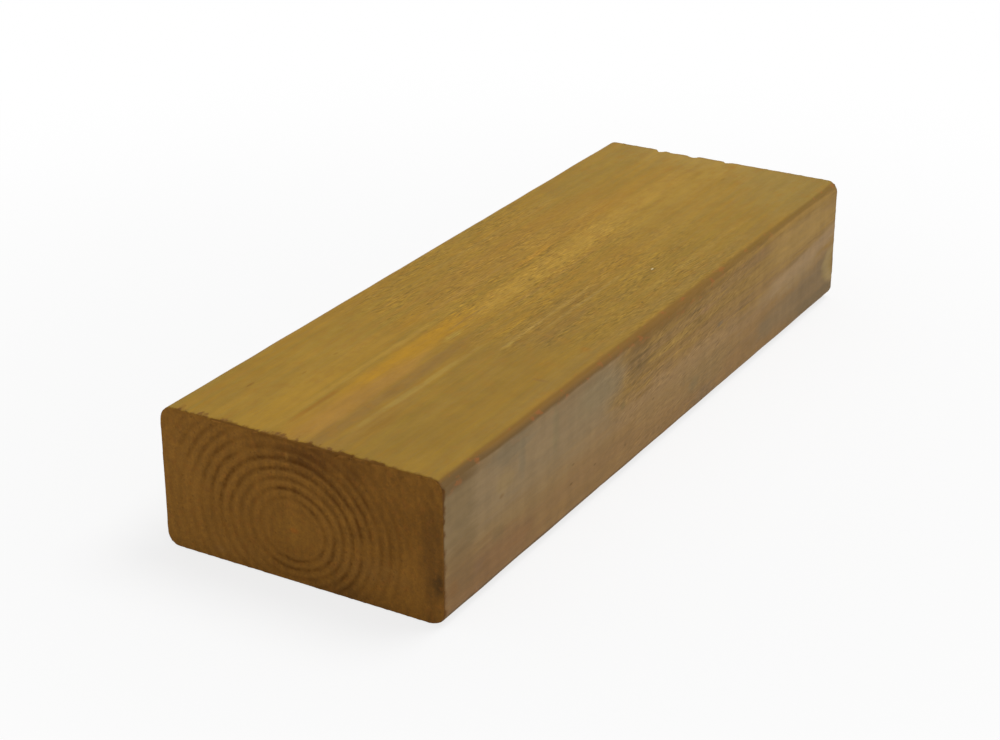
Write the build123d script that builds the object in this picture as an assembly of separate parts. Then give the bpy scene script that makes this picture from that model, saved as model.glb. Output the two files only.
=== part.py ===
from build123d import *
import os

# A short length of planed softwood batten, lying flat on one wide face.
# The origin is the middle of the underside. +X runs along the length, +Y
# across the wide face and +Z up through the thickness.

# Driving dimensions, in millimetres.
batten_length = 275.0
batten_width = 95.0
batten_thickness = 45.0
arris_radius = 4.0

# Where the section starts: on the first sawn end, half way up.
first_end_x = -batten_length / 2
middle_z = batten_thickness / 2


def planed_section():
    # The finished section across the grain, with the four long edges eased
    # to a round when the timber was planed.
    across_the_grain = Plane(
        origin=(first_end_x, 0, middle_z),
        x_dir=(0, 1, 0),
        z_dir=(1, 0, 0),
    )
    return across_the_grain * RectangleRounded(batten_width, batten_thickness, arris_radius)


def batten():
    # Both ends are sawn square and keep their sharp edges.
    return extrude(planed_section(), amount=batten_length)


os.makedirs("parts", exist_ok=True)
export_step(batten(), "parts/batten.step")
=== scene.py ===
import math

import bpy
import bmesh
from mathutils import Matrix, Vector, noise


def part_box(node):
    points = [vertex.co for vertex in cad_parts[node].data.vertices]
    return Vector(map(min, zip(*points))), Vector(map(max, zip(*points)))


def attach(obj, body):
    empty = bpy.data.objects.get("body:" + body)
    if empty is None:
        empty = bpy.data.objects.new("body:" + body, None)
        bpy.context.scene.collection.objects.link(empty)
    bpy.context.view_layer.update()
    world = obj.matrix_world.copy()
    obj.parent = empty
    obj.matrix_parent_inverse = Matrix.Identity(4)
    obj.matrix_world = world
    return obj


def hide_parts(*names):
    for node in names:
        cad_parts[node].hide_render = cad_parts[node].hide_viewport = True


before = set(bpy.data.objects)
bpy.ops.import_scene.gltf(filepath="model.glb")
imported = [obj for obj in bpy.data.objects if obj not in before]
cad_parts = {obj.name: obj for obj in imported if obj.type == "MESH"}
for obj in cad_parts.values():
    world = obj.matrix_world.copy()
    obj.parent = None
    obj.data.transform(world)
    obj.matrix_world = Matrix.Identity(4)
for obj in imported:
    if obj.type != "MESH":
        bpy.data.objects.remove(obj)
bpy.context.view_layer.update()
battenLow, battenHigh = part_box("batten")
battenSize = battenHigh - battenLow
print("frame loaded, batten", [round(side, 4) for side in battenSize])

mm = 0.001  # metres in a millimetre


def tone(red, green, blue):
    # a plain 0 to 255 colour as the linear colour that a node takes
    def linear(value):
        share = value / 255
        return share / 12.92 if share <= 0.04045 else ((share + 0.055) / 1.055) ** 2.4
    return (linear(red), linear(green), linear(blue), 1.0)


def easeStep(low, high, value):
    share = min(max((value - low) / (high - low), 0.0), 1.0)
    return share * share * (3 - 2 * share)


# Camera, at the photograph's viewing angle

photoCamera = {
    "lens": 77.7,  # millimetres, on a sensor 36 mm wide
    "azimuth": -59.8,  # degrees round from the front edge face
    "elevation": 24.4,
    "distance": 0.7094,  # metres
    "lookAt": (-0.0098, 0.0095, 0.0143),
}


def makeCamera():
    turn = math.radians(photoCamera["azimuth"])
    rise = math.radians(photoCamera["elevation"])
    back = Vector((math.sin(turn) * math.cos(rise), -math.cos(turn) * math.cos(rise), math.sin(rise)))
    data = bpy.data.cameras.new("photoCamera")
    data.lens = photoCamera["lens"]
    data.sensor_width = 36
    data.clip_start = 0.01
    data.clip_end = 50
    camera = bpy.data.objects.new("photoCamera", data)
    camera.location = Vector(photoCamera["lookAt"]) + back * photoCamera["distance"]
    camera.rotation_mode = "QUATERNION"
    camera.rotation_quaternion = (-back).to_track_quat("-Z", "Y")
    bpy.context.scene.collection.objects.link(camera)
    bpy.context.scene.camera = camera


makeCamera()
print("camera placed")


# Node helpers

def addNode(tree, kind, **settings):
    node = tree.nodes.new(kind)
    for name, value in settings.items():
        setattr(node, name, value)
    return node


def feed(tree, socket, value):
    # links an output into a socket, or writes a plain value on it
    if isinstance(value, bpy.types.NodeSocket):
        tree.links.new(value, socket)
    else:
        socket.default_value = value


def calc(tree, operation, *values):
    node = addNode(tree, "ShaderNodeMath", operation=operation)
    for socket, value in zip(node.inputs, values):
        feed(tree, socket, value)
    return node.outputs[0]


def times(tree, first, second):
    return calc(tree, "MULTIPLY", first, second)


def timesPlus(tree, value, factor, added):
    return calc(tree, "MULTIPLY_ADD", value, factor, added)


def centred(tree, value):
    # a noise of 0 to 1 as one round zero
    return calc(tree, "SUBTRACT", value, 0.5)


def calcVector(tree, operation, *values):
    node = addNode(tree, "ShaderNodeVectorMath", operation=operation)
    for socket, value in zip(node.inputs, values):
        feed(tree, socket, value)
    return node.outputs["Value"] if operation == "LENGTH" else node.outputs["Vector"]


def ramp(tree, value, low, high, toLow=0.0, toHigh=1.0):
    # smooth step from toLow to toHigh while value goes from low to high
    node = addNode(tree, "ShaderNodeMapRange", interpolation_type="SMOOTHSTEP")
    for socket, amount in zip(node.inputs, (value, low, high, toLow, toHigh)):
        feed(tree, socket, amount)
    return node.outputs["Result"]


def rampDown(tree, value, low, high):
    return ramp(tree, value, low, high, 1.0, 0.0)


def swing(tree, value, amount, low=0.25, high=0.75):
    # a light that swings round 1 by this amount with a noise
    return ramp(tree, value, low, high, 1 - amount, 1 + amount)


def blendColour(tree, share, first, second):
    node = addNode(tree, "ShaderNodeMix", data_type="RGBA")
    feed(tree, node.inputs["Factor"], share)
    feed(tree, node.inputs[6], first)
    feed(tree, node.inputs[7], second)
    return node.outputs[2]


def noiseFac(tree, vector, detail=2.0, roughness=0.5):
    node = addNode(tree, "ShaderNodeTexNoise")
    feed(tree, node.inputs["Vector"], vector)
    node.inputs["Scale"].default_value = 1.0
    node.inputs["Detail"].default_value = detail
    node.inputs["Roughness"].default_value = roughness
    return node.outputs["Fac"]


def stretchedNoise(tree, position, scale, detail=2.0):
    return noiseFac(tree, calcVector(tree, "MULTIPLY", position, scale), detail)


def newGroup(name, inputs, outputs):
    # a socket is a float unless its label ends in :Vector or :Color
    group = bpy.data.node_groups.new(name, "ShaderNodeTree")
    for side, labels in (("INPUT", inputs), ("OUTPUT", outputs)):
        for label in labels:
            words, _, kind = label.partition(":")
            group.interface.new_socket(name=words, in_out=side, socket_type="NodeSocket" + (kind or "Float"))
    return group, group.nodes.new("NodeGroupInput").outputs, group.nodes.new("NodeGroupOutput").inputs


def useGroup(tree, group, **values):
    # places a group; spaces in its socket names are left out of the keywords
    node = addNode(tree, "ShaderNodeGroup", node_tree=group)
    for socket in node.inputs:
        key = socket.name.replace(" ", "")
        key = key[0].lower() + key[1:]
        if key in values:
            feed(tree, socket, values[key])
    return node.outputs


# Shader groups that more than one material uses

def makeRingGroup():
    # growth rings from the distance to the heart: where the dark latewood lies,
    # and the palest wood between
    group, given, result = newGroup("growthRings", ["Ring Distance", "First Ring", "Spacing", "Softness"],
                                    ["Latewood", "Earlywood"])
    count = calc(group, "DIVIDE", calc(group, "SUBTRACT", given["Ring Distance"], given["First Ring"]),
                 given["Spacing"])
    phase = calc(group, "FRACT", count)
    own = addNode(group, "ShaderNodeTexWhiteNoise", noise_dimensions="1D")
    feed(group, own.inputs["W"], calc(group, "FLOOR", count))
    rise = ramp(group, phase, calc(group, "SUBTRACT", 0.72, given["Softness"]),
                timesPlus(group, given["Softness"], -0.4, 0.88))
    drop = rampDown(group, phase, timesPlus(group, given["Softness"], -0.35, 0.88), 1.04)
    strength = ramp(group, own.outputs["Value"], 0.0, 1.0, 0.6, 1.0)
    feed(group, result["Latewood"], times(group, times(group, rise, drop), strength))
    early = times(group, ramp(group, phase, 0.05, 0.25), rampDown(group, phase, 0.38, 0.62))
    feed(group, result["Earlywood"], early)
    return group


def makeFibreGroup():
    # noise drawn out along the grain, for streaks, mottle and single fibres
    group, given, result = newGroup("woodFibres", ["Position:Vector", "Length", "Width", "Seed"], ["Streak"])
    scale = addNode(group, "ShaderNodeCombineXYZ")
    for axis, size in (("X", "Length"), ("Y", "Width"), ("Z", "Width")):
        feed(group, scale.inputs[axis], calc(group, "DIVIDE", 1.0, given[size]))
    stretched = calcVector(group, "MULTIPLY", given["Position"], scale.outputs["Vector"])
    shifted = calcVector(group, "ADD", stretched, given["Seed"])
    feed(group, result["Streak"], noiseFac(group, shifted, detail=3.0, roughness=0.6))
    return group


def makePatchGroup():
    # one soft patch, its outline made ragged by the wander value
    group, given, result = newGroup(
        "softPatch", ["Position:Vector", "Centre:Vector", "Reach:Vector", "Wander", "Ragged", "Core"],
        ["Mask"])
    offset = calcVector(group, "SUBTRACT", given["Position"], given["Centre"])
    distance = calcVector(group, "LENGTH", calcVector(group, "DIVIDE", offset, given["Reach"]))
    bent = timesPlus(group, centred(group, given["Wander"]), given["Ragged"], distance)
    feed(group, result["Mask"], rampDown(group, bent, given["Core"], 1.0))
    return group


def makeStreakGroup():
    # one straight streak, tapered at both ends and widening or narrowing between
    group, given, result = newGroup(
        "grainStreak",
        ["Along", "Across", "Start", "End", "Level", "Slope", "Start Width", "End Width", "Wander"],
        ["Mask"])
    line = timesPlus(group, given["Along"], given["Slope"], given["Level"])
    apart = calc(group, "ABSOLUTE", calc(group, "SUBTRACT", given["Across"], line))
    width = ramp(group, given["Along"], given["Start"], given["End"], given["Start Width"],
                 given["End Width"])
    sway = centred(group, given["Wander"])
    ratio = timesPlus(group, sway, 1.1, calc(group, "DIVIDE", apart, width))
    run = calc(group, "DIVIDE", calc(group, "SUBTRACT", given["Along"], given["Start"]),
               calc(group, "SUBTRACT", given["End"], given["Start"]))
    run = timesPlus(group, sway, 0.35, run)
    ends = times(group, ramp(group, run, 0.0, 0.28), rampDown(group, run, 0.72, 1.0))
    feed(group, result["Mask"], times(group, rampDown(group, ratio, 0.3, 1.4), ends))
    return group


def makeSpeckGroup():
    # sparse specks: grit and pores
    group, given, result = newGroup("specks", ["Position:Vector", "Spacing", "Size", "Share"], ["Mask"])
    cells = addNode(group, "ShaderNodeTexVoronoi", feature="F1")
    feed(group, cells.inputs["Vector"], calcVector(group, "DIVIDE", given["Position"], given["Spacing"]))
    cells.inputs["Scale"].default_value = 1.0
    reach = calc(group, "DIVIDE", given["Size"], given["Spacing"])
    dot = rampDown(group, cells.outputs["Distance"], times(group, reach, 0.4), reach)
    chosen = addNode(group, "ShaderNodeSeparateColor")
    feed(group, chosen.inputs["Color"], cells.outputs["Color"])
    kept = calc(group, "LESS_THAN", chosen.outputs["Red"], given["Share"])
    feed(group, result["Mask"], times(group, dot, kept))
    return group


def makeTornGroup():
    # grain that the planer tore, in clusters between two places along: short
    # ticks, dark where fibres came out and pale where they stand up
    group, given, result = newGroup(
        "tornGrain",
        ["Position:Vector", "Along", "Wander", "Rise From", "Rise To", "Fall From", "Fall To", "Lean:Vector",
         "Dark", "Pale", "Amount"],
        ["Ragged", "Light", "Height"])
    reach = timesPlus(group, centred(group, given["Wander"]), 30.0, given["Along"])
    zone = times(group, ramp(group, reach, given["Rise From"], given["Rise To"]),
                 rampDown(group, reach, given["Fall From"], given["Fall To"]))
    cluster = stretchedNoise(group, given["Position"], (0.06, 0.21, 0.21))
    here = times(group, zone, ramp(group, cluster, 0.38, 0.60, 0.5, 1.05))
    here = times(group, timesPlus(group, here, 0.94, 0.06), given["Amount"])
    lean = calcVector(group, "MULTIPLY", given["Along"], given["Lean"])
    leaning = calcVector(group, "ADD", given["Position"], lean)
    ticks = stretchedNoise(group, leaning, (0.32, 2.2, 2.2), detail=1.0)
    dark = times(group, ramp(group, ticks, 0.53, 0.68), given["Dark"])
    pale = times(group, rampDown(group, ticks, 0.32, 0.46), given["Pale"])
    feed(group, result["Light"], timesPlus(group, calc(group, "SUBTRACT", pale, dark), here, 1.0))
    feed(group, result["Height"], times(group, calc(group, "SUBTRACT", 1.0, ticks), here))
    # the wander value with the ticks in it, so that they break up the streaks
    share = timesPlus(group, here, 0.8, 0.2)
    feed(group, result["Ragged"], timesPlus(group, centred(group, ticks), share, given["Wander"]))
    return group


def makeArrisGroup():
    # the rounded long edge: browner, rusty in spots, plainer towards the far end.
    # Turn goes from 0 on the wide face to 1 on the edge face; the skirt is the
    # strip of the edge face below it that is stained too.
    group, given, result = newGroup(
        "roundedEdge",
        ["Turn", "Skirt", "Along", "Wander", "Spots", "Fade From", "Fade To", "Upper:Color", "Lower:Color",
         "Far:Color", "Rust:Color"],
        ["Mask", "Colour:Color"])
    fade = ramp(group, given["Along"], given["Fade From"], given["Fade To"])
    fromWide = timesPlus(group, centred(group, given["Wander"]), 0.2, given["Turn"])
    fromEdge = calc(group, "ADD", fromWide, times(group, fade, 0.17))
    lower = rampDown(group, fromEdge, 0.74, 0.96)
    skirt = times(group, given["Skirt"], timesPlus(group, fade, -0.7, 0.85))
    worn = times(group, ramp(group, fromWide, 0.2, 0.42), calc(group, "MAXIMUM", lower, skirt))
    feed(group, result["Mask"], times(group, worn, timesPlus(group, fade, -0.15, 0.92)))
    # the darker half reaches further up beside the near end, and ends with the middle
    reach = calc(group, "ADD", given["Turn"], ramp(group, given["Along"], 12.0, 32.0, 0.25, 0.0))
    darker = times(group, ramp(group, reach, 0.5, 0.8), ramp(group, given["Along"], 70.0, 140.0, 1.0, 0.3))
    brown = blendColour(group, darker, given["Upper"], given["Lower"])
    brown = blendColour(group, times(group, fade, 0.8), brown, given["Far"])
    rusty = times(group, ramp(group, given["Spots"], 0.56, 0.66), 0.7)
    feed(group, result["Colour"], blendColour(group, rusty, brown, given["Rust"]))
    return group


def makeRimGroup():
    # torn fibres and splinters beside a sawn end
    group, given, result = newGroup("splinteredRim", ["Along", "Half Length", "Chip Size", "Noise", "Reach"],
                                    ["Mask"])
    fromMiddle = calc(group, "ABSOLUTE", calc(group, "SUBTRACT", given["Along"], given["Half Length"]))
    fromEnd = calc(group, "SUBTRACT", given["Half Length"], fromMiddle)
    tuft = times(group, calc(group, "SUBTRACT", given["Noise"], 0.42), given["Reach"])
    fringe = rampDown(group, calc(group, "SUBTRACT", fromEnd, tuft), -1.4, 1.2)
    both = calc(group, "MAXIMUM", fringe, ramp(group, given["Chip Size"], 0.05, 0.25))
    feed(group, result["Mask"], times(group, both, 0.85))
    return group


ringGroup = makeRingGroup()
fibreGroup = makeFibreGroup()
patchGroup = makePatchGroup()
streakGroup = makeStreakGroup()
speckGroup = makeSpeckGroup()
tornGroup = makeTornGroup()
arrisGroup = makeArrisGroup()
rimGroup = makeRimGroup()
print("shader groups made")


# The growth of the tree, which both the mesh and its finishes follow. In
# millimetres: x from the near sawn end, y across and z up from the underside.

treeGrowth = {
    "heart": (1.6, 16.4),  # y and z of the pith on the near end
    "heartDrift": (3.0, -1.0),  # how far it has moved at the far end
    "heartWander": 0.8,
    "firstRing": 1.8,
    "ringSpacing": 3.13,
    "wobble": 0.45,
    "wobbleSize": (70, 13),  # mm along and across the grain
    "rippleShare": 0.35,  # a finer wobble on top of it
    "rippleSize": (30, 3.5),
    "lopsided": 0.086,  # rings wider apart towards one side
    "lopsidedTo": 37,  # degrees up from the back
    "flatness": 0.065,  # rings wider across than up
    "knots": [
        {"x": 281.0, "angle": 185.5, "reach": 15.0, "bulge": 9.0},
        {"x": 35.0, "angle": 170.5, "reach": 4.5, "bulge": 1.6},
        {"x": 196.0, "angle": 12.0, "reach": 9.0, "bulge": 5.0},
    ],
}


def grainNoise(x, y, z, size, shift=0.0):
    # smooth noise, its size in mm along and across the grain
    return noise.noise(Vector((x / size[0], y / size[1], z / size[1] + shift)))


def ringDistance(x, y, z):
    # wobbled distance in millimetres from the heart of the tree
    along = x / (battenSize.x / mm)
    wander = treeGrowth["heartWander"]
    heartY = (treeGrowth["heart"][0] + treeGrowth["heartDrift"][0] * along
              + wander * noise.noise(Vector((x / 80, 3.1, 0))))
    heartZ = (treeGrowth["heart"][1] + treeGrowth["heartDrift"][1] * along
              + wander * noise.noise(Vector((x / 80, 0, 7.7))))
    offY = y - heartY
    offZ = z - heartZ
    distance = math.hypot(offY, offZ)
    around = math.atan2(offZ, offY)
    distance /= (1 + treeGrowth["lopsided"] * math.cos(around - math.radians(treeGrowth["lopsidedTo"]))
                 + treeGrowth["flatness"] * math.cos(2 * around))
    distance += treeGrowth["wobble"] * grainNoise(x, y, z, treeGrowth["wobbleSize"])
    ripple = treeGrowth["wobble"] * treeGrowth["rippleShare"]
    distance += ripple * grainNoise(x, y, z, treeGrowth["rippleSize"])
    for knot in treeGrowth["knots"]:
        turn = math.radians(knot["angle"])
        outward = offY * math.cos(turn) + offZ * math.sin(turn)
        sideways = -offY * math.sin(turn) + offZ * math.cos(turn)
        apart = math.hypot(x - knot["x"], sideways)
        near = math.exp(-(apart / knot["reach"]) ** 2) * easeStep(2.0, 14.0, outward)
        distance -= knot["bulge"] * near
    return distance


def latewoodAt(distance):
    phase = ((distance - treeGrowth["firstRing"]) / treeGrowth["ringSpacing"]) % 1.0
    return easeStep(0.55, 0.93, phase) * (1 - easeStep(0.94, 1.0, phase))


# The batten itself: one closed mesh on a lattice, cut finer at its edges

battenShape = {
    "arrisRadius": 4.0,  # mm, the four long edges
    "arrisCells": 6,
    "acrossCells": 140,
    "upCells": 58,
    "sawnBand": 3.6,  # mm of finer cells next to each end
    "sawnBandCells": 9,
    "alongCells": 140,
    "ringRelief": 0.07,  # mm that the soft wood lies below the hard
    "endRingRelief": 0.02,
    "faceWaviness": 0.12,
    "waveSize": (45, 11),  # mm along and across the grain
    "fuzzRelief": 0.06,  # torn fibres
    "fuzzSize": (5, 0.9),
    "fuzzZone": (60, 95, 170, 215),  # mm along, where they rise and fall
    "arrisWear": 0.30,
    "wearSize": (17, 40),
    "sawRelief": 0.06,
    "endWear": 0.10,  # every edge of a sawn end is at least this worn
    "nearSplinters": 3.0,  # the two near edges that the saw frayed most
    "farSplinters": 0.25,
    "frayedMiddle": -9.0,  # mm across, where the near top edge is torn most
    "frayedReach": 24.0,
}

# Splinters torn off the far top edge: where across, how wide on its left and
# on its right, how deep (mm)
farTears = [
    (24.6, 0.9, 1.8, 2.3),
    (19.0, 3.0, 3.5, 0.9),
    (9.8, 3.2, 1.0, 1.9),
    (3.0, 1.5, 1.5, 0.3),
    (-2.9, 0.8, 1.6, 1.2),
]


def cutPlaces(size, band, bandCells, middleCells):
    # lattice cuts from 0 to size, with a band of its own cells at each side
    rim = [band * i / bandCells for i in range(bandCells + 1)]
    middle = [band + (size - 2 * band) * i / middleCells for i in range(1, middleCells)]
    return rim + middle + [size - place for place in reversed(rim)]


def onSection(y, z, width, thickness, radius):
    # moves a point of the square section onto the one with rounded edges, and
    # returns it with the direction that points out of the timber there
    sideY = 1 if y >= 0 else -1
    sideZ = 1 if z >= thickness / 2 else -1
    coreY = width / 2 - radius
    coreZ = thickness / 2 - radius
    u = (abs(y) - coreY) / radius
    v = (abs(z - thickness / 2) - coreZ) / radius
    if u > 0 and v > 0:
        roundU = u * math.sqrt(1 - v * v / 2)
        roundV = v * math.sqrt(1 - u * u / 2)
        y = sideY * (coreY + radius * roundU)
        z = thickness / 2 + sideZ * (coreZ + radius * roundV)
        outY = sideY * roundU
        outZ = sideZ * roundV
    else:
        outY = sideY if u >= 1 else 0
        outZ = sideZ if v >= 1 else 0
    reach = math.hypot(outY, outZ)
    if reach > 0:
        outY /= reach
        outZ /= reach
    return y, z, outY, outZ


def outlineGap(y, z, width, thickness, radius):
    # how far inside the section's outline a point lies
    offY = abs(y) - (width / 2 - radius)
    offZ = abs(z - thickness / 2) - (thickness / 2 - radius)
    outside = math.hypot(max(offY, 0), max(offZ, 0))
    return radius - outside - min(max(offY, offZ), 0)


def chipSize(x, y, z, length, width, thickness):
    # size in mm of the splintered bevel where a sawn end meets the long faces
    farEnd = x > length / 2
    seed = 40.0 if farEnd else 0.0
    edgeRun = y + z  # grows along the top edge and along the front edge
    blocks = (0.5 + 0.32 * noise.cell(Vector((edgeRun / 5.3, seed, 0)))
              + 0.18 * noise.cell(Vector((edgeRun / 2.1, seed, 5))))
    blocks = blocks ** 2
    fine = 0.5 + 0.5 * noise.noise(Vector((y / 0.9, z / 0.9, seed + 9)))
    frayed = max(easeStep(thickness - 5, thickness - 2, z), easeStep(width / 2 - 5, width / 2 - 2, -y))
    middle = math.exp(-((y - battenShape["frayedMiddle"]) / battenShape["frayedReach"]) ** 2)
    splinters = battenShape["farSplinters" if farEnd else "nearSplinters"] * (0.55 + 0.45 * middle)
    size = battenShape["endWear"] * (0.6 + fine) + splinters * frayed * (0.2 * fine + 0.8 * blocks)
    if farEnd and z > thickness / 2:
        for place, leftWidth, rightWidth, depth in farTears:
            reach = leftWidth if y > place else rightWidth
            size += depth * math.exp(-((y - place) / reach) ** 2)
    return size


def faceInset(x, y, z, outY, outZ, late):
    # how deep a point of the long faces lies: soft rings, waves, torn fibres
    # and worn edges
    inset = battenShape["ringRelief"] * (1 - late)
    inset += battenShape["faceWaviness"] * (0.5 + 0.5 * grainNoise(x, y, z, battenShape["waveSize"]))
    riseFrom, riseTo, fallFrom, fallTo = battenShape["fuzzZone"]
    fuzzy = easeStep(riseFrom, riseTo, x) * (1 - easeStep(fallFrom, fallTo, x))
    fuzz = max(grainNoise(x, y, z, battenShape["fuzzSize"]), 0)
    inset += battenShape["fuzzRelief"] * (0.3 + fuzzy) * fuzz
    rounded = min(abs(outY), abs(outZ)) / math.sqrt(0.5)
    wear = 0.5 + 0.5 * grainNoise(x, y, z, battenShape["wearSize"], 5)
    return inset + battenShape["arrisWear"] * rounded * wear


def makeBattenMesh():
    length, width, thickness = (side / mm for side in battenSize)
    radius = battenShape["arrisRadius"]
    xs = cutPlaces(length, battenShape["sawnBand"], battenShape["sawnBandCells"], battenShape["alongCells"])
    ys = cutPlaces(width, radius, battenShape["arrisCells"], battenShape["acrossCells"])
    zs = cutPlaces(thickness, radius, battenShape["arrisCells"], battenShape["upCells"])
    lastX, lastY, lastZ = len(xs) - 1, len(ys) - 1, len(zs) - 1
    places, ringValues, chipValues, turnValues = [], [], [], []
    numbers = {}

    def vertex(i, j, k):
        if (i, j, k) in numbers:
            return numbers[i, j, k]
        x = xs[i]
        y, z, outY, outZ = onSection(ys[j] - width / 2, zs[k], width, thickness, radius)
        rings = ringDistance(x, y, z)
        late = latewoodAt(rings)
        onSide = j in (0, lastY) or k in (0, lastZ)
        turn = 0.0
        if onSide:
            turn = math.atan2(abs(outY), abs(outZ)) / (math.pi / 2)
            inset = faceInset(x, y, z, outY, outZ, late)
            y -= outY * inset
            z -= outZ * inset
        deep = 0.0
        if i in (0, lastX):
            deep = battenShape["sawRelief"] * (0.5 + 0.5 * noise.noise(Vector((y / 22, z / 1.1, 3))))
            deep += battenShape["endRingRelief"] * (1 - late)
        fromEnd = min(x, length - x)
        gap = 0.0 if onSide else outlineGap(y, z, width, thickness, radius)
        chip = 0.0
        if fromEnd + gap < battenShape["sawnBand"]:
            size = chipSize(x, y, z, length, width, thickness)
            chip = max(size - fromEnd - gap, 0.0) / 2
        step = 1 if x < length / 2 else -1
        x += step * (deep + chip)
        if chip > 0:
            if not onSide:
                # a point of the sawn end is cut towards the nearer long face
                nearY = abs(y) - (width / 2 - radius)
                nearZ = abs(z - thickness / 2) - (thickness / 2 - radius)
                outY = math.copysign(1, y) if nearY > nearZ else 0
                outZ = math.copysign(1, z - thickness / 2) if nearZ >= nearY else 0
            y -= outY * chip
            z -= outZ * chip
        numbers[i, j, k] = len(places)
        places.append(((x - length / 2) * mm, y * mm, z * mm))
        ringValues.append(rings)
        chipValues.append(chip)
        turnValues.append(turn)
        return numbers[i, j, k]

    faces, slots = [], []

    def coverSide(rows, columns, slot, flip, corner):
        # quads over one side of the lattice
        for a in range(rows):
            for b in range(columns):
                quad = [corner(a + da, b + db) for da, db in ((0, 0), (1, 0), (1, 1), (0, 1))]
                faces.append(quad[::-1] if flip else quad)
                slots.append(slot)

    coverSide(lastX, lastY, 0, False, lambda a, b: vertex(a, b, lastZ))
    coverSide(lastX, lastY, 0, True, lambda a, b: vertex(a, b, 0))
    coverSide(lastX, lastZ, 1, False, lambda a, b: vertex(a, 0, b))
    coverSide(lastX, lastZ, 1, True, lambda a, b: vertex(a, lastY, b))
    coverSide(lastY, lastZ, 2, True, lambda a, b: vertex(0, a, b))
    coverSide(lastY, lastZ, 2, False, lambda a, b: vertex(lastX, a, b))

    mesh = bpy.data.meshes.new("planedBatten")
    mesh.from_pydata(places, [], faces)
    mesh.polygons.foreach_set("material_index", slots)
    mesh.polygons.foreach_set("use_smooth", [True] * len(faces))
    for name, values in (("ringDistance", ringValues), ("chipSize", chipValues), ("turn", turnValues)):
        mesh.attributes.new(name, "FLOAT", "POINT").data.foreach_set("value", values)
    mesh.set_sharp_from_angle(angle=math.radians(50))
    mesh.validate()
    return mesh


battenMesh = makeBattenMesh()
batten = bpy.data.objects.new("planedBatten", battenMesh)
bpy.context.scene.collection.objects.link(batten)
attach(batten, "root")
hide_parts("batten")
print("batten mesh made,", len(battenMesh.polygons), "quads")


# What the finishes are laid out with. Places are in millimetres: x from the
# near sawn end, y across (plus towards the back) and z up from the underside.

halfLength = battenSize.x / 2 / mm

# For each side: the axis that the rows of its patches leave out (0 is x), its
# place and their reach along it, its share of the light and the haze of its gloss
wideSide = {"axis": 2, "level": 45, "depth": 4, "light": 1.0, "haze": 0.017}
edgeSide = {"axis": 1, "level": -47.5, "depth": 4, "light": 0.813, "haze": 0.0103}
sawnSide = {"axis": 0, "level": 0, "depth": 40, "light": 0.61, "haze": 0.003}


def shownTone(side, red, green, blue):
    # the wood's own linear colour that shows as this 0 to 255 colour on a side
    shown = tone(red, green, blue)
    return tuple(max((value - side["haze"]) / side["light"], 0.001) for value in shown[:3]) + (1.0,)


def fullPlace(place, axis, value):
    # puts the axis back that a row leaves out
    return place if len(place) == 3 else place[:axis] + (value,) + place[axis:]


def framePosition(tree):
    place = addNode(tree, "ShaderNodeTexCoord").outputs["Object"]
    scaled = calcVector(tree, "DIVIDE", place, (mm, mm, mm))
    return calcVector(tree, "ADD", scaled, (halfLength, 0, 0))


def splitAxes(tree, vector):
    axes = addNode(tree, "ShaderNodeSeparateXYZ")
    feed(tree, axes.inputs[0], vector)
    return axes.outputs


def attribute(tree, name):
    return addNode(tree, "ShaderNodeAttribute", attribute_name=name).outputs["Fac"]


def fibres(tree, position, layer):
    length, width, seed = layer
    return useGroup(tree, fibreGroup, position=position, length=length, width=width, seed=seed)["Streak"]


def allFibres(tree, position, finish, names):
    return [fibres(tree, position, finish[name]) for name in names]


def specks(tree, position, dots):
    spacing, size, share = dots
    return useGroup(tree, speckGroup, position=position, spacing=spacing, size=size, share=share)["Mask"]


def growthRings(tree, distance, shift, softness):
    return useGroup(tree, ringGroup, ringDistance=distance, firstRing=treeGrowth["firstRing"] + shift,
                    spacing=treeGrowth["ringSpacing"], softness=softness)


def layPatches(tree, colour, position, wander, side, patches):
    for centre, reach, core, ragged, shown, amount in patches:
        mask = useGroup(tree, patchGroup, position=position, wander=wander, ragged=ragged, core=core,
                        centre=fullPlace(centre, side["axis"], side["level"]),
                        reach=fullPlace(reach, side["axis"], side["depth"]))["Mask"]
        colour = blendColour(tree, times(tree, mask, amount), colour, shownTone(side, *shown))
    return colour


def layStreaks(tree, colour, lengthwise, across, wander, within, side, streaks):
    # streaks along the grain, each from one point to another
    for start, end, widths, shown, amount in streaks:
        slope = (end[1] - start[1]) / (end[0] - start[0])
        mask = useGroup(tree, streakGroup, along=lengthwise, across=across, start=start[0], end=end[0],
                        level=start[1] - slope * start[0], slope=slope, startWidth=widths[0],
                        endWidth=widths[1], wander=wander)["Mask"]
        share = times(tree, mask, times(tree, within, amount))
        colour = blendColour(tree, share, colour, shownTone(side, *shown))
    return colour


def shade(tree, colour, *lights):
    # darkens and lightens a colour by one or more factors near 1
    light = lights[0]
    for other in lights[1:]:
        light = times(tree, light, other)
    scale = addNode(tree, "ShaderNodeVectorMath", operation="SCALE")
    feed(tree, scale.inputs[0], colour)
    feed(tree, scale.inputs["Scale"], light)
    return scale.outputs["Vector"]


def dress(tree, shader, finish, colour, dull, height):
    # colour, roughness and fine relief onto the shader; dull is a noise
    feed(tree, shader.inputs["Base Color"], colour)
    feed(tree, shader.inputs["Roughness"], ramp(tree, dull, 0.2, 0.8, *finish["roughness"]))
    bump = addNode(tree, "ShaderNodeBump")
    bump.inputs["Strength"].default_value = 0.7
    bump.inputs["Distance"].default_value = finish["bump"]
    feed(tree, bump.inputs["Height"], height)
    feed(tree, shader.inputs["Normal"], bump.outputs["Normal"])


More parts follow.
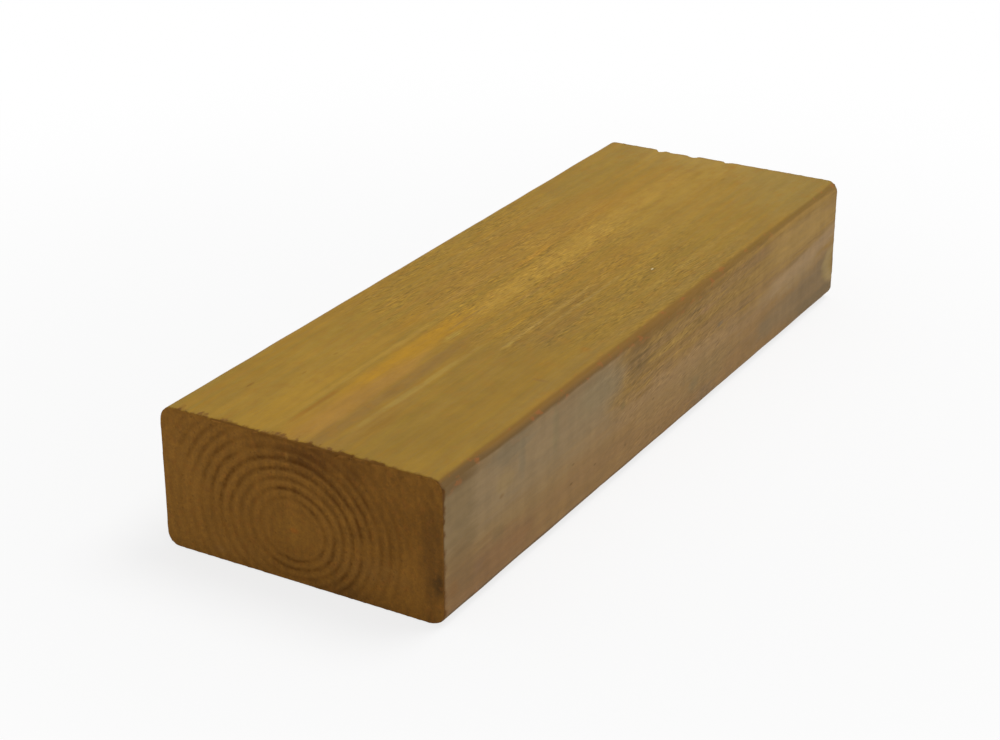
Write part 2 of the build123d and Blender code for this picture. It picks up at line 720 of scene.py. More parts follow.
def newMaterial(name, look):
    material = bpy.data.materials.new(name)
    material.use_nodes = True
    shader = material.node_tree.nodes["Principled BSDF"]
    shader.inputs["Specular IOR Level"].default_value = look["specular"]
    return material, material.node_tree, shader


# What the planer left on all four long faces

planedFinish = {
    "arrisUpper": tone(127, 92, 37),  # rounded edges, the half next to the wide face
    "arrisLower": tone(107, 80, 41),  # and the half next to the edge face
    "arrisFar": tone(116, 88, 35),
    "arrisRust": tone(148, 88, 40),
    "arrisFade": (130, 215),  # mm along, where the dark edge grows paler
    "tornRim": tone(102, 62, 16),
    "grit": tone(64, 48, 26),
    "tornZone": (70, 100, 165, 226),  # mm along, where the planer tore the fibres
    "darkTicks": 0.26,
    "paleTicks": 0.25,
    "wideLean": 0.10,  # how fast the ticks cross the grain
    "edgeLean": -0.18,
    "fibreLight": 0.24,  # how much single fibres lighten and darken
    "fineFibre": (7.0, 0.55, 3.0),  # noises: length and width in mm, seed
    "wander": (11.0, 2.2, 90.0),
    "hue": (120.0, 3.0, 11.0),
    "blotch": (5.0, 3.6, 41.0),
    "rustSpots": (5.0, 2.6, 51.0),
    "rimTufts": (5.0, 3.0, 70.0),
    "gritDots": (12.0, 0.42, 0.14),  # mm apart, mm across, share that shows
    "gritAmount": 0.75,
    "fibreHeight": 0.5,  # shares of the bump
    "tornHeight": 0.9,
    "gritDepth": 0.6,
    "roughness": (0.62, 0.8),
    "specular": 0.15,
    "bump": 0.0002,
}

# Wide faces: olive gold with golden, plum and pale bands along the grain

wideFinish = {
    "oliveWood": shownTone(wideSide, 150, 120, 54),
    "amberWood": shownTone(wideSide, 155, 120, 52),
    "rustyWood": shownTone(wideSide, 159, 117, 52),
    "ringLine": shownTone(wideSide, 142, 109, 54),
    "ringAmount": 0.22,
    "ringSoftness": 0.4,
    "mottle": (22.0, 2.6, 27.0),
    "cloud": (12.0, 6.0, 63.0),
}

# centre (x, y), reach, share of it in full tone, raggedness, tone, amount
widePatches = [
    ((35, 26), (60, 13), 0.3, 1.0, (159, 126, 57), 0.50),  # pale near left
    ((245, 34), (70, 13), 0.3, 1.0, (144, 119, 58), 0.50),  # olive far corner
    ((160, 24), (85, 8), 0.3, 1.2, (153, 117, 54), 0.50),
    ((50, -27), (100, 17), 0.3, 0.8, (141, 112, 53), 0.65),  # duller front half
    ((150, -32), (90, 14), 0.3, 0.8, (143, 115, 55), 0.50),
    ((278, 0), (34, 60), 0.2, 0.8, (158, 130, 68), 0.70),  # paler far end
    ((112, -18), (54, 8), 0.3, 1.2, (142, 113, 57), 0.45),
    ((190, 13.5), (62, 4), 0.3, 1.0, (160, 120, 51), 0.50),
    ((232, -9), (46, 4), 0.3, 1.0, (155, 119, 53), 0.45),
    ((106, -25), (28, 9), 0.3, 1.0, (142, 113, 58), 0.50),
    ((18, -11.5), (40, 5), 0.3, 1.0, (144, 112, 58), 0.55),
]

# start (x, y), end (x, y), half the width there, tone, amount
wideStreaks = [
    ((-20, 17.5), (84, 17.5), (5.0, 4.6), (164, 128, 54), 0.75),  # golden behind the middle
    ((84, 17.5), (240, 16.0), (4.4, 4.6), (161, 125, 57), 0.60),
    ((170, -4.6), (300, -4.6), (4.6, 5.0), (162, 130, 60), 0.65),
    ((168, -14.6), (262, -14.6), (4.6, 4.0), (158, 128, 62), 0.45),
    ((-14, 5.0), (70, 5.0), (3.8, 3.2), (161, 122, 54), 0.75),
    ((24, 6.2), (114, 5.4), (3.4, 4.6), (170, 128, 47), 0.95),  # near golden band
    ((86, 3.8), (212, 3.4), (4.6, 4.8), (171, 135, 61), 0.75),  # and the middle one
    ((160, 5.4), (268, 5.4), (5.0, 5.4), (168, 133, 61), 0.75),  # and the far one
    ((-10, 0.4), (76, 0.0), (4.8, 3.6), (163, 123, 61), 0.85),  # pinkish
    ((-26, -5.2), (100, -5.0), (2.6, 3.0), (142, 110, 58), 0.95),  # plum grey
    ((-6, 11.5), (108, 11.5), (1.1, 1.3), (168, 132, 59), 0.70),  # pale gold line
    ((6, 8.9), (40, 9.0), (0.9, 1.1), (147, 106, 45), 0.85),  # dark line
    ((6, -9.3), (88, -10.8), (1.3, 1.1), (160, 131, 65), 0.85),  # pale yellow line
    ((26, 20.5), (86, 20.8), (0.8, 1.1), (166, 130, 58), 0.60),
    ((84, 4.2), (114, 3.8), (0.5, 0.5), (150, 118, 62), 0.75),  # plum lines
    ((96, -3.2), (184, -2.8), (0.7, 0.6), (153, 120, 61), 0.75),
    ((86, 16.6), (164, 16.4), (0.9, 0.7), (157, 123, 62), 0.60),
    ((148, -10.0), (174, -10.0), (0.6, 0.6), (150, 119, 60), 0.60),
    ((136, 12.4), (170, 12.4), (1.3, 1.1), (176, 131, 53), 0.60),  # orange
    ((34, -13.8), (160, -13.8), (1.6, 1.4), (142, 112, 54), 0.80),  # lines in front of it
    ((72, -17.0), (160, -16.8), (0.9, 0.8), (157, 127, 67), 0.70),
    ((76, -19.2), (158, -18.8), (1.1, 0.9), (142, 110, 54), 0.75),
    ((94, -21.0), (160, -20.8), (0.7, 0.7), (159, 129, 68), 0.65),
    ((86, -24.2), (132, -24.2), (1.9, 1.6), (140, 109, 57), 0.65),
    ((60, -29.5), (150, -29.0), (1.4, 1.2), (144, 114, 55), 0.50),
    ((-40, -42.0), (330, -42.0), (3.4, 3.4), (143, 115, 60), 0.70),  # painted shade beside the rounded edge, against the lamp that lights its worn slope brighter
    ((20, -23.0), (90, -23.4), (1.5, 1.2), (152, 121, 60), 0.45),
    ((90, 27.0), (180, 27.0), (1.3, 1.3), (150, 118, 58), 0.50),
    ((110, 34.0), (220, 33.0), (1.6, 1.4), (158, 125, 62), 0.45),
    ((130, -35.0), (230, -34.0), (1.6, 1.4), (157, 127, 64), 0.45),
    ((184, 14.5), (220, 14.2), (0.8, 0.8), (152, 114, 50), 0.60),
    ((182, 16.5), (204, 16.5), (0.7, 0.7), (169, 132, 62), 0.55),
]

# small marks, laid over the streaks
wideMarks = [
    ((22, -14), (16, 2.6), 0.2, 1.2, (147, 110, 48), 0.65),
    ((41, -5.2), (7, 2.0), 0.2, 1.0, (138, 106, 54), 0.70),
    ((79, -5.0), (7, 1.8), 0.2, 1.0, (139, 107, 52), 0.70),
    ((84, 0.6), (7, 1.9), 0.2, 1.2, (168, 140, 66), 0.80),
    ((86, -17.4), (5, 1.2), 0.2, 1.0, (164, 136, 68), 0.70),
    ((87, 18.0), (10, 3.0), 0.2, 1.2, (163, 122, 46), 0.50),
    ((24, 33.0), (3.0, 0.7), 0.3, 0.6, (131, 94, 42), 0.80),  # nick
    ((39, 24.4), (1.6, 0.5), 0.3, 0.6, (140, 106, 46), 0.70),
    ((55, 24.1), (1.8, 0.6), 0.3, 0.6, (138, 104, 46), 0.70),
    ((69.0, -38), (1.4, 3.6), 0.2, 0.8, (136, 104, 58), 0.65),  # smudge
    ((95.5, -39), (2.2, 2.4), 0.2, 0.8, (152, 107, 46), 0.55),
    ((264, -35), (48, 26, 6), 0.2, 0.8, (145, 120, 63), 0.80),  # calm far front corner, 6 mm deep
    ((256, 12), (8, 2.0), 0.2, 1.2, (158, 117, 48), 0.60),
    ((256, 0.5), (9, 2.0), 0.2, 1.2, (151, 118, 48), 0.65),
    ((256, -10), (3, 0.9), 0.2, 1.0, (140, 106, 46), 0.70),
    ((270, -7.5), (4, 1.8), 0.2, 1.0, (160, 114, 44), 0.60),
    ((164, -27.2), (0.9, 0.4), 0.5, 0.1, (230, 218, 172), 0.90),  # pale chip
    ((137, -37.2), (0.8, 0.45), 0.5, 0.1, (82, 68, 46), 0.90),
]

# Edge faces: greyed and smooth by one end, browner and torn beyond it

edgeFinish = {
    "edgeWood": shownTone(edgeSide, 137, 108, 66),
    "edgeAmber": shownTone(edgeSide, 141, 111, 60),
    "edgeGrey": shownTone(edgeSide, 135, 114, 84),
    "edgePink": shownTone(edgeSide, 133, 104, 68),
    "edgeLine": shownTone(edgeSide, 106, 83, 52),
    "lineAmount": 0.45,
    "lines": (18.0, 1.1, 71.0),
    "mottle": (30.0, 2.5, 27.0),
    "uprightScale": (0.16, 0.02, 0.02),  # bars across the grain
    "greyZone": 106,  # mm along, where the greyed wood stops
    "greyZoneFoot": 19,  # mm up, its lower edge
    "greyBulge": 26.0,  # mm that its end wanders
    "greyBulgeScale": (0.03, 0.09, 0.09),
}

# centre (x, z), reach, share of it in full tone, raggedness, tone, amount
edgePatches = [
    ((150, 20), (90, 7), 0.3, 1.0, (143, 115, 78), 0.75),  # smooth below the middle
    ((8, 32), (13, 20), 0.3, 1.0, (119, 99, 68), 0.75),  # darker beside the end
    ((22, 7), (44, 12), 0.3, 1.2, (124, 93, 64), 0.60),
    ((9, 14), (15, 12), 0.3, 1.0, (116, 92, 61), 0.60),
    ((36, 39), (18, 5), 0.3, 1.0, (122, 106, 80), 0.75),
    ((112, 39), (14, 3), 0.3, 1.0, (122, 96, 56), 0.50),
    ((163, 4), (14, 6), 0.3, 1.0, (118, 96, 68), 0.65),
    ((88, 36), (22, 9), 0.3, 1.0, (128, 112, 82), 0.60),
    ((80, 12), (36, 9), 0.3, 1.2, (134, 105, 69), 0.45),
    ((114, 35), (10, 9), 0.3, 1.2, (122, 97, 61), 0.65),
    ((130, 15), (26, 7), 0.3, 1.2, (140, 112, 72), 0.65),
    ((165, 13), (34, 8), 0.3, 1.2, (135, 111, 72), 0.55),
    ((206, 39), (12, 4), 0.3, 1.2, (127, 100, 69), 0.30),
    ((241, 35), (44, 9), 0.3, 1.0, (151, 121, 69), 0.85),  # golden far top
    ((241, 21), (34, 6), 0.3, 1.0, (144, 121, 87), 0.60),
    ((200, 7), (12, 6), 0.3, 1.2, (123, 97, 62), 0.50),
    ((214, 10), (9, 5), 0.3, 1.0, (117, 105, 79), 0.40),
]

# start (x, z), end (x, z), half the width there, tone, amount
edgeStreaks = [
    ((104, 36.6), (126, 37.0), (0.6, 0.5), (104, 82, 50), 0.70),
    ((109, 33.2), (130, 33.5), (0.7, 0.5), (106, 84, 50), 0.65),
    ((104, 29.3), (186, 30.3), (0.8, 0.7), (127, 98, 58), 0.70),
    ((110, 23.0), (128, 23.2), (0.7, 0.5), (122, 94, 54), 0.65),
    ((112, 25.6), (126, 25.8), (1.0, 0.9), (148, 117, 62), 0.60),  # golden
    ((120, 32.4), (158, 32.8), (1.3, 1.1), (148, 118, 62), 0.60),
    ((137, 26.8), (164, 27.0), (1.4, 1.2), (150, 118, 63), 0.60),
    ((128, 37.0), (168, 37.4), (0.8, 0.7), (122, 96, 58), 0.50),
    ((170, 35.4), (212, 36.2), (0.9, 0.8), (126, 100, 62), 0.40),
    ((176, 21.0), (216, 20.0), (0.9, 0.8), (124, 100, 64), 0.40),
    ((196, 20.6), (310, 29.6), (3.0, 3.6), (147, 121, 87), 0.80),  # pale band over the knot
    ((196, 10.0), (320, 14.0), (5.0, 9.0), (124, 103, 73), 0.85),
    ((226, 9.0), (310, 23.0), (3.0, 4.4), (119, 98, 69), 0.80),  # dark wedge beside it
    ((226, 5.0), (310, 4.0), (2.6, 5.0), (111, 94, 68), 0.80),
    ((216, 24.4), (282, 31.0), (0.9, 0.8), (128, 103, 64), 0.45),
]

edgeMarks = [
    ((33, 30.5), (7.5, 5.0), 0.3, 0.8, (143, 119, 80), 0.70),  # warm patch
    ((31, 26.5), (2.0, 0.9), 0.3, 0.6, (118, 92, 56), 0.60),
    ((42.5, 33.5), (3.2, 9), 0.2, 0.8, (119, 105, 80), 0.60),  # upright stains
    ((62, 34), (3.0, 12), 0.2, 0.9, (125, 111, 79), 0.40),
    ((29, 16), (5.5, 4.0), 0.2, 1.0, (119, 97, 65), 0.65),
    ((15, 22), (5, 3.5), 0.2, 1.0, (116, 96, 66), 0.60),
    ((18, 11), (5, 3.0), 0.2, 1.0, (118, 92, 66), 0.60),
    ((5, 10), (4.5, 4.0), 0.2, 1.0, (127, 94, 58), 0.60),
    ((38, 9), (10, 2.8), 0.2, 1.2, (134, 101, 66), 0.60),
    ((72, 12), (1.3, 0.5), 0.3, 0.6, (108, 82, 52), 0.70),
    ((87, 12), (1.2, 0.5), 0.3, 0.6, (108, 82, 52), 0.70),
    ((73, 18), (1.3, 0.5), 0.3, 0.6, (110, 86, 56), 0.60),
    ((126, 18), (1.4, 0.6), 0.3, 0.6, (112, 88, 56), 0.60),
    ((107, 10), (1.2, 0.5), 0.3, 0.6, (108, 84, 54), 0.60),
    ((105, 24.5), (2.4, 2.2), 0.2, 1.0, (116, 98, 62), 0.60),
    ((164, 35), (6, 1.8), 0.2, 1.0, (142, 110, 72), 0.60),
    ((175, 25.5), (3.6, 1.2), 0.2, 0.8, (112, 98, 76), 0.70),
    ((156, 11.5), (5, 3.0), 0.2, 1.0, (122, 104, 72), 0.65),
    ((149, 7), (5, 1.6), 0.2, 1.0, (128, 101, 68), 0.65),
]

# The knot, cut through by the far sawn end: a pale rim round its own wood
knotMarks = [
    ((281, 14), (18.5, 9.2), 0.76, 0.2, (143, 121, 80), 1.0),
    ((282, 14.4), (15.0, 7.4), 0.60, 0.3, (134, 110, 66), 0.95),
    ((276, 13), (5.0, 2.2), 0.30, 0.8, (124, 100, 58), 0.60),
]


def tornGrain(tree, position, axes, wander, lean, amount):
    riseFrom, riseTo, fallFrom, fallTo = planedFinish["tornZone"]
    return useGroup(tree, tornGroup, position=position, along=axes["X"], wander=wander, riseFrom=riseFrom,
                    riseTo=riseTo, fallFrom=fallFrom, fallTo=fallTo, lean=lean,
                    dark=planedFinish["darkTicks"], pale=planedFinish["paleTicks"], amount=amount)


def layPlaned(tree, shader, position, axes, wander, torn, colour, calm, skirt, tufts):
    # what both kinds of long face share: fine fibres, torn grain, the rounded
    # edges, splintered rims and grit
    fine, spots, rough = allFibres(tree, position, planedFinish, ("fineFibre", "rustSpots", "rimTufts"))
    fineLight = timesPlus(tree, centred(tree, fine), times(tree, calm, planedFinish["fibreLight"]), 1.0)
    colour = shade(tree, colour, torn["Light"], fineLight)

    fadeFrom, fadeTo = planedFinish["arrisFade"]
    worn = useGroup(tree, arrisGroup, turn=attribute(tree, "turn"), skirt=skirt, along=axes["X"],
                    wander=wander, spots=spots, fadeFrom=fadeFrom, fadeTo=fadeTo,
                    upper=planedFinish["arrisUpper"], lower=planedFinish["arrisLower"],
                    far=planedFinish["arrisFar"], rust=planedFinish["arrisRust"])
    colour = blendColour(tree, worn["Mask"], colour, worn["Colour"])

    rim = useGroup(tree, rimGroup, along=axes["X"], halfLength=halfLength, reach=tufts, noise=rough,
                   chipSize=attribute(tree, "chipSize"))["Mask"]
    colour = blendColour(tree, rim, colour, planedFinish["tornRim"])
    grit = specks(tree, position, planedFinish["gritDots"])
    colour = blendColour(tree, times(tree, grit, planedFinish["gritAmount"]), colour, planedFinish["grit"])

    height = times(tree, fine, times(tree, calm, planedFinish["fibreHeight"]))
    height = calc(tree, "ADD", height, times(tree, torn["Height"], planedFinish["tornHeight"]))
    height = calc(tree, "SUBTRACT", height, times(tree, grit, planedFinish["gritDepth"]))
    dress(tree, shader, planedFinish, colour, fine, height)


def makeWideMaterial():
    material, tree, shader = newMaterial("planedWideFace", planedFinish)
    position = framePosition(tree)
    axes = splitAxes(tree, position)
    wander, hue, blotch = allFibres(tree, position, planedFinish, ("wander", "hue", "blotch"))
    mottle, cloud = allFibres(tree, position, wideFinish, ("mottle", "cloud"))
    # the front strip starts to be torn further along than the rest
    strip = timesPlus(tree, axes["Y"], 1.6, axes["X"])
    torn = tornGrain(tree, position, axes, wander, (0, planedFinish["wideLean"], 0),
                     ramp(tree, strip, 30, 60, 0.3, 1.15))
    distance = timesPlus(tree, mottle, 1.2, attribute(tree, "ringDistance"))
    rings = growthRings(tree, distance, 0.0, wideFinish["ringSoftness"])

    colour = blendColour(tree, ramp(tree, hue, 0.38, 0.62), wideFinish["oliveWood"], wideFinish["amberWood"])
    colour = blendColour(tree, times(tree, rings["Latewood"], wideFinish["ringAmount"]), colour,
                         wideFinish["ringLine"])
    colour = layPatches(tree, colour, position, wander, wideSide, widePatches)
    upwards = ramp(tree, axes["Z"], 20, 25)
    colour = layStreaks(tree, colour, axes["X"], axes["Y"], torn["Ragged"], upwards, wideSide, wideStreaks)
    colour = layPatches(tree, colour, position, torn["Ragged"], wideSide, wideMarks)
    colour = blendColour(tree, ramp(tree, blotch, 0.5, 0.7, 0.0, 0.35), colour, wideFinish["rustyWood"])
    colour = shade(tree, colour, swing(tree, mottle, 0.05), swing(tree, cloud, 0.05),
                   swing(tree, blotch, -0.04))
    tufts = times(tree, ramp(tree, axes["Y"], -30, -12, 5, 12), ramp(tree, axes["X"], 60, 120, 1.0, 0.3))
    layPlaned(tree, shader, position, axes, wander, torn, colour, calm=1.0, skirt=0.0, tufts=tufts)
    return material


def makeEdgeMaterial():
    material, tree, shader = newMaterial("planedEdgeFace", planedFinish)
    position = framePosition(tree)
    axes = splitAxes(tree, position)
    wander, hue, blotch = allFibres(tree, position, planedFinish, ("wander", "hue", "blotch"))
    mottle, lines = allFibres(tree, position, edgeFinish, ("mottle", "lines"))
    upright = stretchedNoise(tree, position, edgeFinish["uprightScale"], detail=3.0)
    torn = tornGrain(tree, position, axes, wander, (0, 0, planedFinish["edgeLean"]),
                     times(tree, ramp(tree, axes["Z"], 16, 26, 0.6, 1.0),
                           ramp(tree, axes["X"], 90, 112, 0.3, 1.0)))

    colour = blendColour(tree, ramp(tree, hue, 0.40, 0.60), edgeFinish["edgeWood"], edgeFinish["edgeAmber"])
    lines = ramp(tree, lines, 0.50, 0.66, 0.0, edgeFinish["lineAmount"])
    colour = blendColour(tree, times(tree, lines, ramp(tree, axes["Z"], 18, 26)), colour,
                         edgeFinish["edgeLine"])
    lowPink = ramp(tree, timesPlus(tree, wander, 12.0, axes["Z"]), 16, 38, 0.8, 0.0)
    colour = blendColour(tree, lowPink, colour, edgeFinish["edgePink"])

    # the greyed stretch lies at the near end in front, and at the far end behind
    behind = calc(tree, "GREATER_THAN", axes["Y"], 0.0)
    fromGreyEnd = calc(tree, "ABSOLUTE", timesPlus(tree, behind, -2 * halfLength, axes["X"]))
    bulge = centred(tree, stretchedNoise(tree, position, edgeFinish["greyBulgeScale"]))
    stopped = calc(tree, "ADD", fromGreyEnd, times(tree, bulge, edgeFinish["greyBulge"]))
    stop, foot = edgeFinish["greyZone"], edgeFinish["greyZoneFoot"]
    grey = times(tree, rampDown(tree, stopped, stop - 14, stop + 6),
                 ramp(tree, timesPlus(tree, wander, 8.0, axes["Z"]), foot - 6, foot + 14))
    colour = blendColour(tree, times(tree, grey, 0.9), colour, edgeFinish["edgeGrey"])

    colour = layPatches(tree, colour, position, wander, edgeSide, edgePatches)
    front = rampDown(tree, axes["Y"], -5, 5)
    colour = layStreaks(tree, colour, axes["X"], axes["Z"], torn["Ragged"], front, edgeSide, edgeStreaks)
    colour = layPatches(tree, colour, position, torn["Ragged"], edgeSide, edgeMarks)
    colour = layPatches(tree, colour, position, wander, edgeSide, knotMarks)
    colour = shade(tree, colour, swing(tree, upright, 0.05, 0.3, 0.7), swing(tree, mottle, 0.06),
                   swing(tree, blotch, -0.05))

    # the rounded edge's stain runs down beside the near end and past the middle
    skirt = ramp(tree, timesPlus(tree, centred(tree, wander), 5.0, axes["Z"]), 38.2, 41.6)
    stained = calc(tree, "MAXIMUM", ramp(tree, axes["X"], 10, 28, 1.0, 0.25),
                   ramp(tree, axes["X"], 100, 118))
    layPlaned(tree, shader, position, axes, wander, torn, colour, calm=timesPlus(tree, grey, -0.6, 1.0),
              skirt=times(tree, skirt, stained), tufts=6.0)
    return material


# Sawn ends: dark thirsty end grain, its rings broken and fading

sawnFinish = {
    "softWood": shownTone(sawnSide, 110, 75, 30),
    "hardWood": shownTone(sawnSide, 70, 42, 12),
    "earlyWood": shownTone(sawnSide, 125, 88, 38),
    "redWood": shownTone(sawnSide, 116, 72, 30),
    "pore": shownTone(sawnSide, 66, 41, 12),
    "rim": shownTone(sawnSide, 96, 64, 26),
    "ringPlain": 0.30,  # how much of the rings shows all over
    "ringSoftness": 0.48,
    "ringShift": 0.5,
    "ringReach": 400,  # mm, so that the rows below serve both ends
    "earlyAmount": 0.42,
    "mottle": (3.0, 1.5, 5.0),  # noises: length and width in mm, seed
    "cloud": (30.0, 8.0, 15.0),
    "fleck": (3.0, 0.6, 33.0),
    "blotch": (30.0, 2.6, 55.0),
    "sawLineScale": (0.3, 0.45, 0.03),
    "poreDots": (1.9, 0.5, 0.25),  # mm apart, mm across, share that shows
    "poreAmount": 0.2,
    "rimAmount": 0.7,
    "ringHeight": 0.12,  # shares of the bump
    "fleckHeight": 0.5,
    "poreDepth": 0.4,
    "roughness": (0.75, 0.92),
    "specular": 0.12,
    "bump": 0.00025,
}

# where the rings show more: centre, reach, how much
ringShows = [
    ((3, 34), (26, 12), 1.0),
    ((-15, 27), (20, 18), 0.90),
    ((24, 27), (16, 14), 0.80),
    ((32, 36), (22, 12), 0.85),
    ((-14, 11), (13, 14), 0.90),
    ((0, 5), (20, 8), 0.75),
    ((-30, 20), (12, 20), 0.60),
]

# centre (y, z), reach, share of it in full tone, raggedness, tone, amount; the
# last two lie at the far end
endPatches = [
    ((-6, 42), (36, 11), 0.1, 1.2, (87, 56, 22), 0.70),  # damp stain at the top
    ((-4.5, 40), (15, 6), 0.1, 1.2, (77, 48, 19), 0.65),
    ((-14, 34), (16, 9), 0.1, 1.2, (84, 54, 20), 0.35),
    ((-32, 30), (24, 20), 0.2, 1.0, (95, 63, 24), 0.75),
    ((-45, 16), (7, 28), 0.2, 1.0, (82, 55, 24), 0.75),
    ((-45.5, 12.5), (2.6, 4.4), 0.2, 0.8, (64, 45, 22), 0.80),
    ((42, 20), (16, 34), 0.2, 1.0, (118, 82, 34), 0.60),
    # painted light: these two paler patches lift the floor's shadow at the foot of the end's back half
    ((22, 5), (18, 6), 0.2, 1.2, (116, 81, 36), 0.45),
    ((36, 4), (26, 9), 0.2, 1.2, (122, 85, 36), 0.50),
    ((-22, 11), (20, 6), 0.2, 1.4, (112, 78, 36), 0.55),
    # painted shade: darker along the bottom edge of the end's front half, beside the floor
    ((-16, 1), (20, 5), 0.1, 1.2, (86, 58, 26), 0.60),
    ((1.8, 16.6), (10, 7), 0.1, 1.0, (118, 83, 33), 0.45),
    ((1.8, 16.6), (2.2, 1.2), 0.3, 0.6, (126, 76, 28), 0.60),  # pith
    ((3.3, 39.5), (0.9, 1.8), 0.3, 0.6, (112, 80, 36), 0.60),  # pale break
    ((-30.5, 12.8), (3.0, 0.9), 0.2, 0.8, (124, 88, 38), 0.60),
    ((-23.5, 11.0), (0.9, 3.0), 0.2, 0.8, (124, 88, 42), 0.50),
    ((28.5, 3.4), (3.0, 1.6), 0.2, 1.0, (120, 86, 44), 0.50),
    ((1.2, 29.5), (1.4, 4.0), 0.2, 0.8, (74, 46, 14), 0.45),
    ((275, 14, 12), (22, 12), 0.2, 1.4, (82, 54, 20), 0.50),
    ((275, -20, 34), (24, 12), 0.2, 1.4, (119, 84, 32), 0.45),
]


def makeSawnMaterial():
    material, tree, shader = newMaterial("sawnEndGrain", sawnFinish)
    position = framePosition(tree)
    mottle, cloud, fleck, blotch = allFibres(tree, position, sawnFinish,
                                             ("mottle", "cloud", "fleck", "blotch"))
    sawLines = stretchedNoise(tree, position, sawnFinish["sawLineScale"], detail=3.0)
    distance = attribute(tree, "ringDistance")
    rings = growthRings(tree, timesPlus(tree, mottle, 1.0, distance), sawnFinish["ringShift"],
                        sawnFinish["ringSoftness"])

    # how much of the rings shows: by place, by distance from the heart, and broken
    shows = sawnFinish["ringPlain"]
    for centre, reach, amount in ringShows:
        mask = useGroup(tree, patchGroup, position=position, wander=cloud, ragged=1.2, core=0.2,
                        centre=fullPlace(centre, sawnSide["axis"], sawnSide["level"]),
                        reach=fullPlace(reach, sawnSide["axis"], sawnFinish["ringReach"]))["Mask"]
        shows = calc(tree, "MAXIMUM", shows, times(tree, mask, amount))
    byHeart = times(tree, ramp(tree, distance, 5, 11, 0.1, 1.0), ramp(tree, distance, 24, 42, 1.0, 0.5))
    broken = times(tree, ramp(tree, mottle, 0.32, 0.56, 0.5, 1.0), ramp(tree, blotch, 0.36, 0.56, 0.45, 1.0))
    shows = times(tree, times(tree, shows, byHeart), broken)
    seen = times(tree, rings["Latewood"], shows)

    colour = layPatches(tree, sawnFinish["softWood"], position, cloud, sawnSide, endPatches)
    pale = times(tree, times(tree, rings["Earlywood"], shows), sawnFinish["earlyAmount"])
    colour = blendColour(tree, pale, colour, sawnFinish["earlyWood"])
    colour = blendColour(tree, ramp(tree, blotch, 0.52, 0.68, 0.0, 0.3), colour, sawnFinish["redWood"])
    colour = blendColour(tree, seen, colour, sawnFinish["hardWood"])
    colour = shade(tree, colour, swing(tree, mottle, 0.13), swing(tree, cloud, 0.05, 0.3, 0.7),
                   swing(tree, fleck, 0.07), swing(tree, sawLines, 0.06, 0.3, 0.7))
    pores = specks(tree, position, sawnFinish["poreDots"])
    colour = blendColour(tree, times(tree, pores, sawnFinish["poreAmount"]), colour, sawnFinish["pore"])
    chipped = ramp(tree, attribute(tree, "chipSize"), 0.05, 0.4)
    colour = blendColour(tree, times(tree, chipped, sawnFinish["rimAmount"]), colour, sawnFinish["rim"])

    height = calc(tree, "ADD", times(tree, seen, sawnFinish["ringHeight"]),
                  times(tree, fleck, sawnFinish["fleckHeight"]))
    height = calc(tree, "SUBTRACT", height, times(tree, pores, sawnFinish["poreDepth"]))
    dress(tree, shader, sawnFinish, colour, mottle, height)
    return material


battenMesh.materials.append(makeWideMaterial())
battenMesh.materials.append(makeEdgeMaterial())
battenMesh.materials.append(makeSawnMaterial())
print("finishes made")


# Floor, world and lamps

studio = {
    "floorRadius": 4.0,
    "floorDrop": 0.0003,  # metres below the underside
    "floorColour": (0.82, 0.82, 0.82, 1.0),
    "whiteNear": 0.78,  # share of plain white beside the batten
    "whiteFrom": 0.12,  # metres from the middle where it grows
    "whiteTo": 0.42,
    "skyStrength": 0.52,
    "keyPlace": (0.75, -0.55, 2.0),
    "keySize": 1.3,
    "keyPower": 28.5,
}


def seenDirectly(tree):
    # 1 for what the camera, a gloss or a glass looks at, 0 for the light it gives
    rays = addNode(tree, "ShaderNodeLightPath").outputs
    return calc(tree, "MAXIMUM", rays["Is Camera Ray"],
                calc(tree, "MAXIMUM", rays["Is Glossy Ray"], rays["Is Transmission Ray"]))


def mixShaders(tree, share, first, second):
    node = addNode(tree, "ShaderNodeMixShader")
    for socket, value in zip(node.inputs, (share, first, second)):
        feed(tree, socket, value)
    return node.outputs[0]


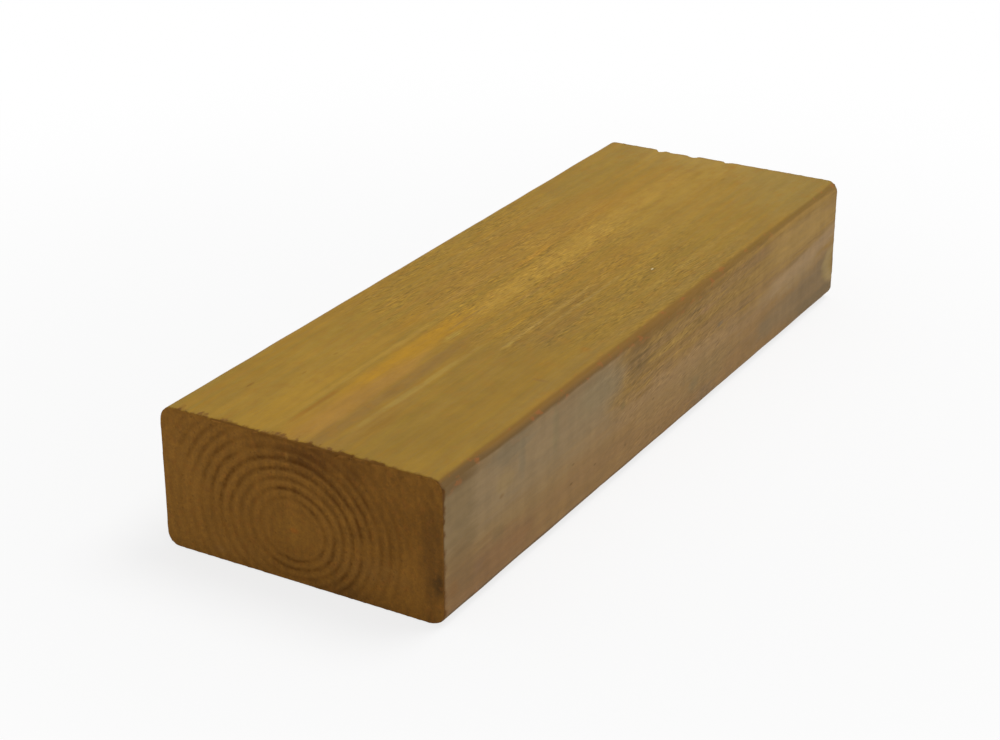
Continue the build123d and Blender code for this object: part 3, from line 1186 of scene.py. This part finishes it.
def makeFloor():
    mesh = bpy.data.meshes.new("studioFloor")
    shape = bmesh.new()
    bmesh.ops.create_circle(shape, cap_ends=True, segments=96, radius=studio["floorRadius"])
    shape.to_mesh(mesh)
    shape.free()
    floor = bpy.data.objects.new("studioFloor", mesh)
    floor.location.z = -studio["floorDrop"]
    bpy.context.scene.collection.objects.link(floor)

    material = bpy.data.materials.new("paleFloor")
    material.use_nodes = True
    tree = material.node_tree
    tree.nodes.clear()
    pale = addNode(tree, "ShaderNodeBsdfDiffuse")
    pale.inputs["Color"].default_value = studio["floorColour"]
    white = addNode(tree, "ShaderNodeEmission")
    white.inputs["Color"].default_value = (1, 1, 1, 1)
    place = addNode(tree, "ShaderNodeTexCoord").outputs["Object"]
    away = calcVector(tree, "LENGTH", place)
    share = ramp(tree, away, studio["whiteFrom"], studio["whiteTo"], studio["whiteNear"], 1.0)
    whitened = mixShaders(tree, times(tree, share, seenDirectly(tree)), pale.outputs[0], white.outputs[0])
    clear = addNode(tree, "ShaderNodeBsdfTransparent")
    behind = addNode(tree, "ShaderNodeNewGeometry").outputs["Backfacing"]
    shown = mixShaders(tree, behind, whitened, clear.outputs[0])
    output = addNode(tree, "ShaderNodeOutputMaterial")
    feed(tree, output.inputs["Surface"], shown)
    mesh.materials.append(material)


def makeWorld():
    world = bpy.data.worlds.new("studioWorld")
    world.use_nodes = True
    tree = world.node_tree
    tree.nodes.clear()
    sky = addNode(tree, "ShaderNodeBackground")
    sky.inputs["Strength"].default_value = studio["skyStrength"]
    backdrop = addNode(tree, "ShaderNodeBackground")
    backdrop.inputs["Strength"].default_value = 1.0
    for node in (sky, backdrop):
        node.inputs["Color"].default_value = (1, 1, 1, 1)
    mixed = mixShaders(tree, seenDirectly(tree), sky.outputs[0], backdrop.outputs[0])
    feed(tree, addNode(tree, "ShaderNodeOutputWorld").inputs["Surface"], mixed)
    bpy.context.scene.world = world


def makeLamp(name, place, size, power):
    data = bpy.data.lights.new(name, "AREA")
    data.shape = "DISK"
    data.size = size
    data.energy = power
    lamp = bpy.data.objects.new(name, data)
    lamp.location = place
    lamp.rotation_mode = "QUATERNION"
    lamp.rotation_quaternion = (-Vector(place)).to_track_quat("-Z", "Y")
    bpy.context.scene.collection.objects.link(lamp)


makeFloor()
makeWorld()
makeLamp("keyLamp", studio["keyPlace"], studio["keySize"], studio["keyPower"])
bpy.context.scene.view_settings.view_transform = "Standard"
print("studio set up")
